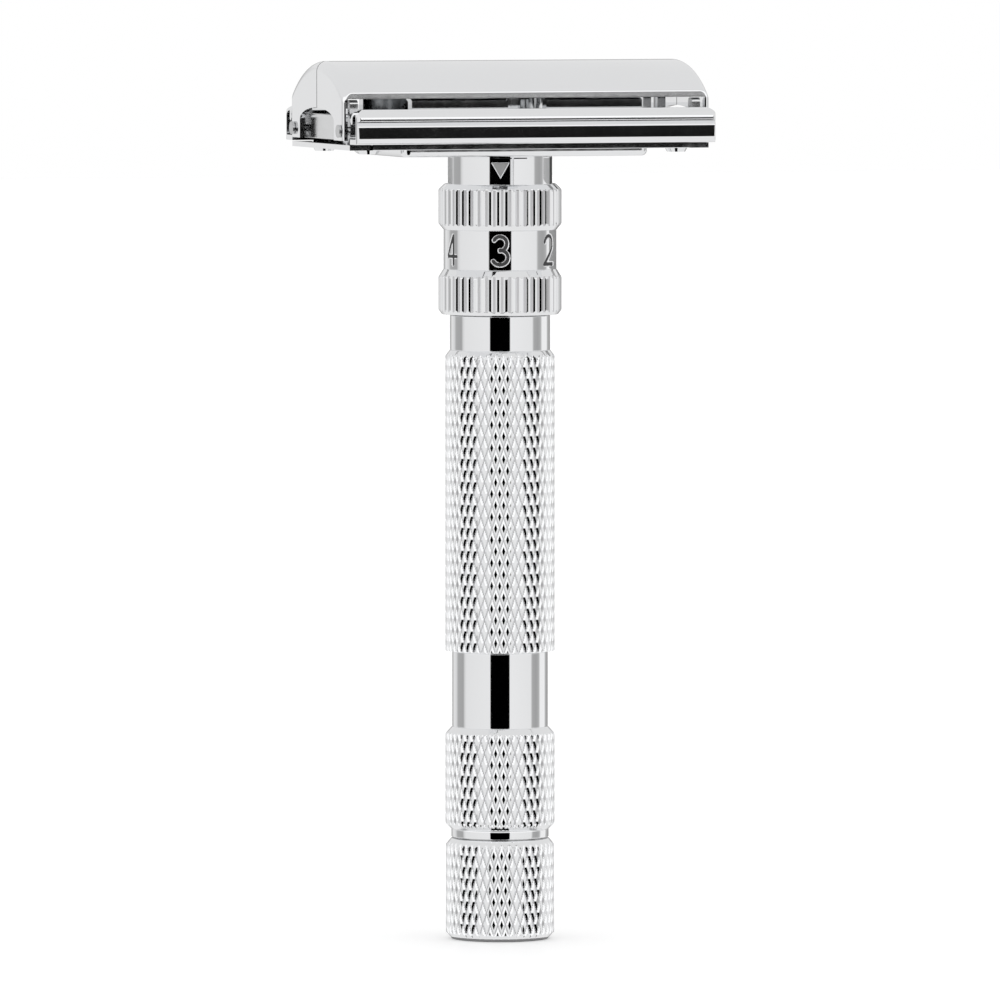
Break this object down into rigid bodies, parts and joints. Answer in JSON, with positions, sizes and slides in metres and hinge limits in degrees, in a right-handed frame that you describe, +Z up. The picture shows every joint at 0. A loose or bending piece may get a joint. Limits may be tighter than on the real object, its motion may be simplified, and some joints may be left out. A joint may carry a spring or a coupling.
{
  "type": "safety razor",
  "caption": "Double-edge safety razor with a knurled handle, a knob that opens two hinged doors over the blade seat, and a numbered dial that moves the guard.",
  "frame": {"origin": "middle of the knob's flat foot, on the handle's axis", "axes": "+Z up the handle to the head, X along the head, -Y towards the front door"},
  "size_m": [0.0456, 0.0278, 0.103],
  "materials": {
    "door_chrome": "polished chrome plate",
    "guard_chrome": "polished chrome plate",
    "neck_chrome": "polished chrome plate",
    "dial_chrome": "polished chrome plate, fluted, numbers cut in",
    "handle_chrome": "polished chrome plate, diamond knurled",
    "knob_chrome": "polished chrome plate, diamond knurled",
    "bed_chrome": "plated, less bright than the outside",
    "carriage_steel": "plain plated steel",
    "pin_steel": "turned steel",
    "tube_steel": "drawn steel tube",
    "nut_brass": "turned brass",
    "spring_steel": "spring steel"
  },
  "bodies": {
    "handle": {"barrel": "handle_chrome", "barrel_bush": "nut_brass", "thrust_washer": "pin_steel", "core_tube": "tube_steel", "guard_keys": "pin_steel", "dial_retaining_ring": "spring_steel", "detent_ball": "spring_steel", "detent_spring": "spring_steel", "blade_bed": "bed_chrome"},
    "knob": {"knob_shell": "knob_chrome", "knob_screw": "pin_steel", "spindle": "tube_steel", "spindle_circlip": "spring_steel"},
    "carriage": {"crossbar": "carriage_steel", "crossbar_screw": "pin_steel", "lift_tube": "tube_steel", "lift_nut": "nut_brass", "yoke_left": "carriage_steel", "yoke_right": "carriage_steel", "hinge_pins": "pin_steel"},
    "door_front": {"door_front": "door_chrome"},
    "door_back": {"door_back": "door_chrome"},
    "dial": {"dial_ring": "dial_chrome", "dial_nut": "nut_brass"},
    "guard": {"guard_plate": "guard_chrome", "neck_sleeve": "neck_chrome", "guard_thread_tube": "tube_steel"}
  },
  "joints": [
    {"name": "carriage_lift", "type": "slide", "parent": "handle", "child": "carriage", "axis": [0, 0, 1], "range_m": [0, 0.0043]},
    {"name": "knob_turn", "type": "hinge", "parent": "handle", "child": "knob", "pos_m": [0, 0, 0], "axis": [0, 0, -1], "range_deg": [0, 360]},
    {"name": "door_front_open", "type": "hinge", "parent": "carriage", "child": "door_front", "pos_m": [0, -0.0089, 0.0951], "axis": [1, 0, 0], "range_deg": [0, 80]},
    {"name": "door_back_open", "type": "hinge", "parent": "carriage", "child": "door_back", "pos_m": [0, 0.0089, 0.0951], "axis": [-1, 0, 0], "range_deg": [0, 80]},
    {"name": "guard_slide", "type": "slide", "parent": "handle", "child": "guard", "axis": [0, 0, 1], "range_m": [-0.000375, 0.00025]},
    {"name": "dial_turn", "type": "hinge", "parent": "handle", "child": "dial", "pos_m": [0, 0, 0.081], "axis": [0, 0, 1], "range_deg": [-120, 180]}
  ],
  "couplings": [
    {"joint": "knob_turn", "follows": "carriage_lift", "rad_per_m": 1461.2},
    {"joint": "door_front_open", "follows": "carriage_lift", "rad_per_m": 324.71},
    {"joint": "door_back_open", "follows": "carriage_lift", "rad_per_m": 324.71},
    {"joint": "dial_turn", "follows": "guard_slide", "rad_per_m": -8377.5}
  ]
}
